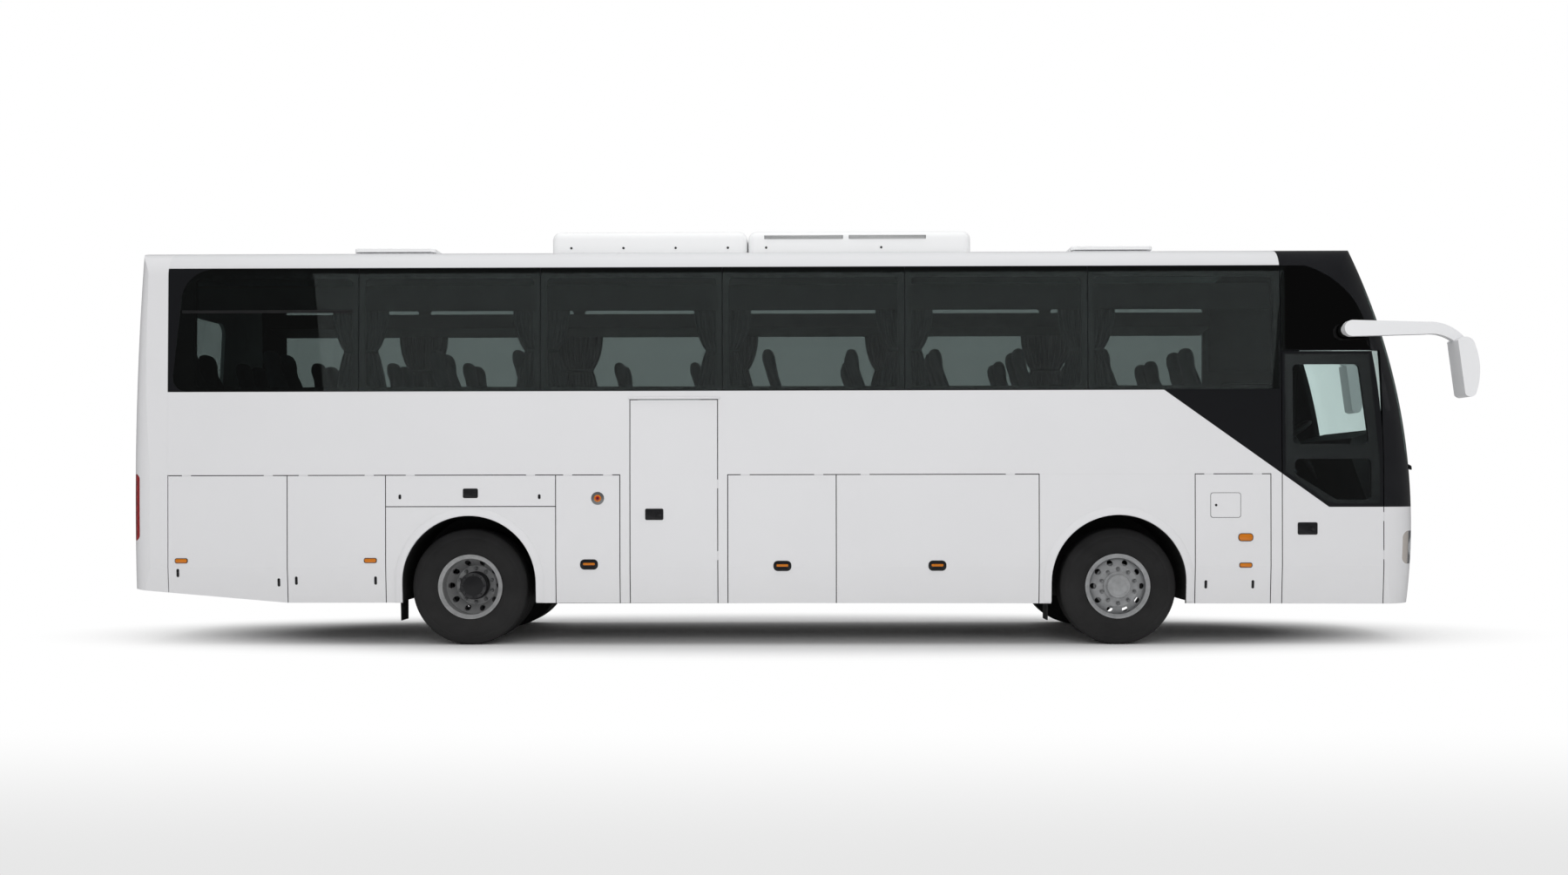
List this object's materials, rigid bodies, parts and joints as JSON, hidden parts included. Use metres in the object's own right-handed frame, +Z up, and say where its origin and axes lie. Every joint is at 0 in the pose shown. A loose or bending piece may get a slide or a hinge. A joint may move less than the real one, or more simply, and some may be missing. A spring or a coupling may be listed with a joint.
{
  "type": "coach bus",
  "caption": "Rear-engined two-axle coach with flush side glazing, a front and a middle door, hinged luggage and service flaps, roof hatches, and steered front and twin rear wheels.",
  "frame": {"origin": "on the ground under the coach, midway along its length with the mirrors, on its centre line", "axes": "+X forward, +Y to the coach's left, +Z up"},
  "size_m": [12.024, 3.012, 3.768],
  "materials": {
    "body_paint": "gloss white coach paint",
    "mask_paint": "gloss black cap paint",
    "glazing": "tinted flush glass",
    "screen_glass": "clear laminated glass",
    "lamp_lens": "clear lamp lens",
    "tail_lens": "red lamp lens",
    "tyre_rubber": "black tyre rubber",
    "wheel_steel": "silver painted steel",
    "chassis_steel": "black chassis paint",
    "liner": "black moulded liner",
    "floor_board": "grey floor covering",
    "seat_cloth": "dark seat cloth",
    "curtain_cloth": "grey curtain cloth",
    "trim_plastic": "dark interior plastic",
    "rubber_trim": "black rubber",
    "mirror_shell": "pale mirror housing"
  },
  "bodies": {
    "coach": {"side_wall_right": "body_paint", "side_wall_left": "body_paint", "arch_panels": "body_paint", "roof_panel": "body_paint", "front_panel": "body_paint", "screen_surround": "mask_paint", "windscreen": "screen_glass", "rear_panel": "body_paint", "window_panes": "glazing", "headlamps": "lamp_lens", "tail_lamps": "tail_lens", "saloon_floor": "floor_board", "stairs": "floor_board", "luggage_bay": "liner", "underframe": "chassis_steel", "subframes": "chassis_steel", "front_subframes": "chassis_steel", "wheel_housings": "liner", "front_axle": "chassis_steel", "rear_axle": "chassis_steel", "air_springs": "rubber_trim", "mud_flaps": "rubber_trim", "engine": "chassis_steel", "roof_air_conditioner": "body_paint", "mirrors": "mirror_shell", "passenger_seats": "seat_cloth", "driver_seat": "seat_cloth", "dashboard": "trim_plastic", "luggage_racks": "trim_plastic", "window_curtains": "curtain_cloth", "wipers": "rubber_trim"},
    "front_door": {"front_door": "body_paint", "front_door_glass": "glazing"},
    "middle_door": {"middle_door": "body_paint"},
    "engine_lid": {"engine_lid": "body_paint"},
    "rear_roof_hatch": {"rear_roof_hatch": "body_paint"},
    "front_roof_hatch": {"front_roof_hatch": "body_paint"},
    "right_knuckle": {"knuckle_right": "chassis_steel"},
    "left_knuckle": {"knuckle_left": "chassis_steel"},
    "steering_wheel": {"steering_wheel": "trim_plastic"},
    "right_front_wheel": {"wheel_front_right": "wheel_steel", "tyre_front_right": "tyre_rubber"},
    "left_front_wheel": {"wheel_front_left": "wheel_steel", "tyre_front_left": "tyre_rubber"},
    "right_rear_wheels": {"wheel_rear_right": "wheel_steel", "tyre_rear_right": "tyre_rubber"},
    "left_rear_wheels": {"wheel_rear_left": "wheel_steel", "tyre_rear_left": "tyre_rubber"},
    "rear_service_flap_right": {"rear_service_flap_right": "body_paint"},
    "mid_service_flap_right": {"mid_service_flap_right": "body_paint"},
    "wheel_flap_right": {"wheel_flap_right": "body_paint"},
    "filler_flap_right": {"filler_flap_right": "body_paint"},
    "short_luggage_flap_right": {"short_luggage_flap_right": "body_paint"},
    "long_luggage_flap_right": {"long_luggage_flap_right": "body_paint"},
    "front_service_flap_right": {"front_service_flap_right": "body_paint"},
    "radiator_door_left": {"radiator_door_left": "body_paint"},
    "rear_luggage_flap_left": {"rear_luggage_flap_left": "body_paint"},
    "short_luggage_flap_left": {"short_luggage_flap_left": "body_paint"},
    "long_luggage_flap_left": {"long_luggage_flap_left": "body_paint"},
    "front_service_flap_left": {"front_service_flap_left": "body_paint"}
  },
  "joints": [
    {"name": "rear_service_flap_right_hinge", "type": "hinge", "parent": "coach", "child": "rear_service_flap_right", "pos_m": [-5.0555, -1.275, 1.522], "axis": [-1, 0, 0], "range_deg": [0, 80]},
    {"name": "mid_service_flap_right_hinge", "type": "hinge", "parent": "coach", "child": "mid_service_flap_right", "pos_m": [-4.0775, -1.275, 1.522], "axis": [-1, 0, 0], "range_deg": [0, 80]},
    {"name": "wheel_flap_right_hinge", "type": "hinge", "parent": "coach", "child": "wheel_flap_right", "pos_m": [-2.874, -1.275, 1.522], "axis": [-1, 0, 0], "range_deg": [0, 80]},
    {"name": "filler_flap_right_hinge", "type": "hinge", "parent": "coach", "child": "filler_flap_right", "pos_m": [-1.8245, -1.275, 1.522], "axis": [-1, 0, 0], "range_deg": [0, 80]},
    {"name": "short_luggage_flap_right_hinge", "type": "hinge", "parent": "coach", "child": "short_luggage_flap_right", "pos_m": [-0.089, -1.275, 1.522], "axis": [-1, 0, 0], "range_deg": [0, 80]},
    {"name": "long_luggage_flap_right_hinge", "type": "hinge", "parent": "coach", "child": "long_luggage_flap_right", "pos_m": [1.2985, -1.275, 1.522], "axis": [-1, 0, 0], "range_deg": [0, 80]},
    {"name": "front_service_flap_right_hinge", "type": "hinge", "parent": "coach", "child": "front_service_flap_right", "pos_m": [3.9225, -1.275, 1.522], "axis": [-1, 0, 0], "range_deg": [0, 80]},
    {"name": "radiator_door_left_hinge", "type": "hinge", "parent": "coach", "child": "radiator_door_left", "pos_m": [-4.614, 1.275, 1.522], "axis": [1, 0, 0], "range_deg": [0, 80]},
    {"name": "rear_luggage_flap_left_hinge", "type": "hinge", "parent": "coach", "child": "rear_luggage_flap_left", "pos_m": [-1.3425, 1.275, 1.522], "axis": [1, 0, 0], "range_deg": [0, 80]},
    {"name": "short_luggage_flap_left_hinge", "type": "hinge", "parent": "coach", "child": "short_luggage_flap_left", "pos_m": [-0.089, 1.275, 1.522], "axis": [1, 0, 0], "range_deg": [0, 80]},
    {"name": "long_luggage_flap_left_hinge", "type": "hinge", "parent": "coach", "child": "long_luggage_flap_left", "pos_m": [1.2985, 1.275, 1.522], "axis": [1, 0, 0], "range_deg": [0, 80]},
    {"name": "front_service_flap_left_hinge", "type": "hinge", "parent": "coach", "child": "front_service_flap_left", "pos_m": [3.9225, 1.275, 1.522], "axis": [1, 0, 0], "range_deg": [0, 80]},
    {"name": "front_door_hinge", "type": "hinge", "parent": "coach", "child": "front_door", "pos_m": [5.257, -1.275, 1], "axis": [0, 0, 1], "range_deg": [0, 90]},
    {"name": "middle_door_hinge", "type": "hinge", "parent": "coach", "child": "middle_door", "pos_m": [-0.663, -1.275, 1], "axis": [0, 0, 1], "range_deg": [0, 90]},
    {"name": "engine_lid_hinge", "type": "hinge", "parent": "coach", "child": "engine_lid", "pos_m": [-6.01, 0, 1.508], "axis": [0, 1, 0], "range_deg": [0, 80]},
    {"name": "rear_roof_hatch_hinge", "type": "hinge", "parent": "coach", "child": "rear_roof_hatch", "pos_m": [-4.172, 0, 3.652], "axis": [0, -1, 0], "range_deg": [0, 60]},
    {"name": "front_roof_hatch_hinge", "type": "hinge", "parent": "coach", "child": "front_roof_hatch", "pos_m": [2.641, 0, 3.652], "axis": [0, -1, 0], "range_deg": [0, 60]},
    {"name": "right_knuckle_steer", "type": "hinge", "parent": "coach", "child": "right_knuckle", "pos_m": [2.91, -0.95, 0.52], "axis": [0, 0, 1], "range_deg": [-40, 40]},
    {"name": "left_knuckle_steer", "type": "hinge", "parent": "coach", "child": "left_knuckle", "pos_m": [2.91, 0.95, 0.52], "axis": [0, 0, 1], "range_deg": [-40, 40]},
    {"name": "steering_wheel_turn", "type": "hinge", "parent": "coach", "child": "steering_wheel", "pos_m": [5.02, 0.62, 1.95], "axis": [-0.5299, 0, 0.848], "range_deg": [-720, 720]},
    {"name": "right_front_wheel_spin", "type": "hinge", "parent": "right_knuckle", "child": "right_front_wheel", "pos_m": [2.91, -1.098, 0.52], "axis": [0, 1, 0], "continuous": true},
    {"name": "left_front_wheel_spin", "type": "hinge", "parent": "left_knuckle", "child": "left_front_wheel", "pos_m": [2.91, 1.098, 0.52], "axis": [0, 1, 0], "continuous": true},
    {"name": "right_rear_wheels_spin", "type": "hinge", "parent": "coach", "child": "right_rear_wheels", "pos_m": [-2.89, -1.098, 0.52], "axis": [0, 1, 0], "continuous": true},
    {"name": "left_rear_wheels_spin", "type": "hinge", "parent": "coach", "child": "left_rear_wheels", "pos_m": [-2.89, 1.098, 0.52], "axis": [0, 1, 0], "continuous": true}
  ],
  "couplings": [
    {"joint": "left_knuckle_steer", "follows": "right_knuckle_steer", "ratio": 1},
    {"joint": "steering_wheel_turn", "follows": "right_knuckle_steer", "ratio": 18}
  ]
}
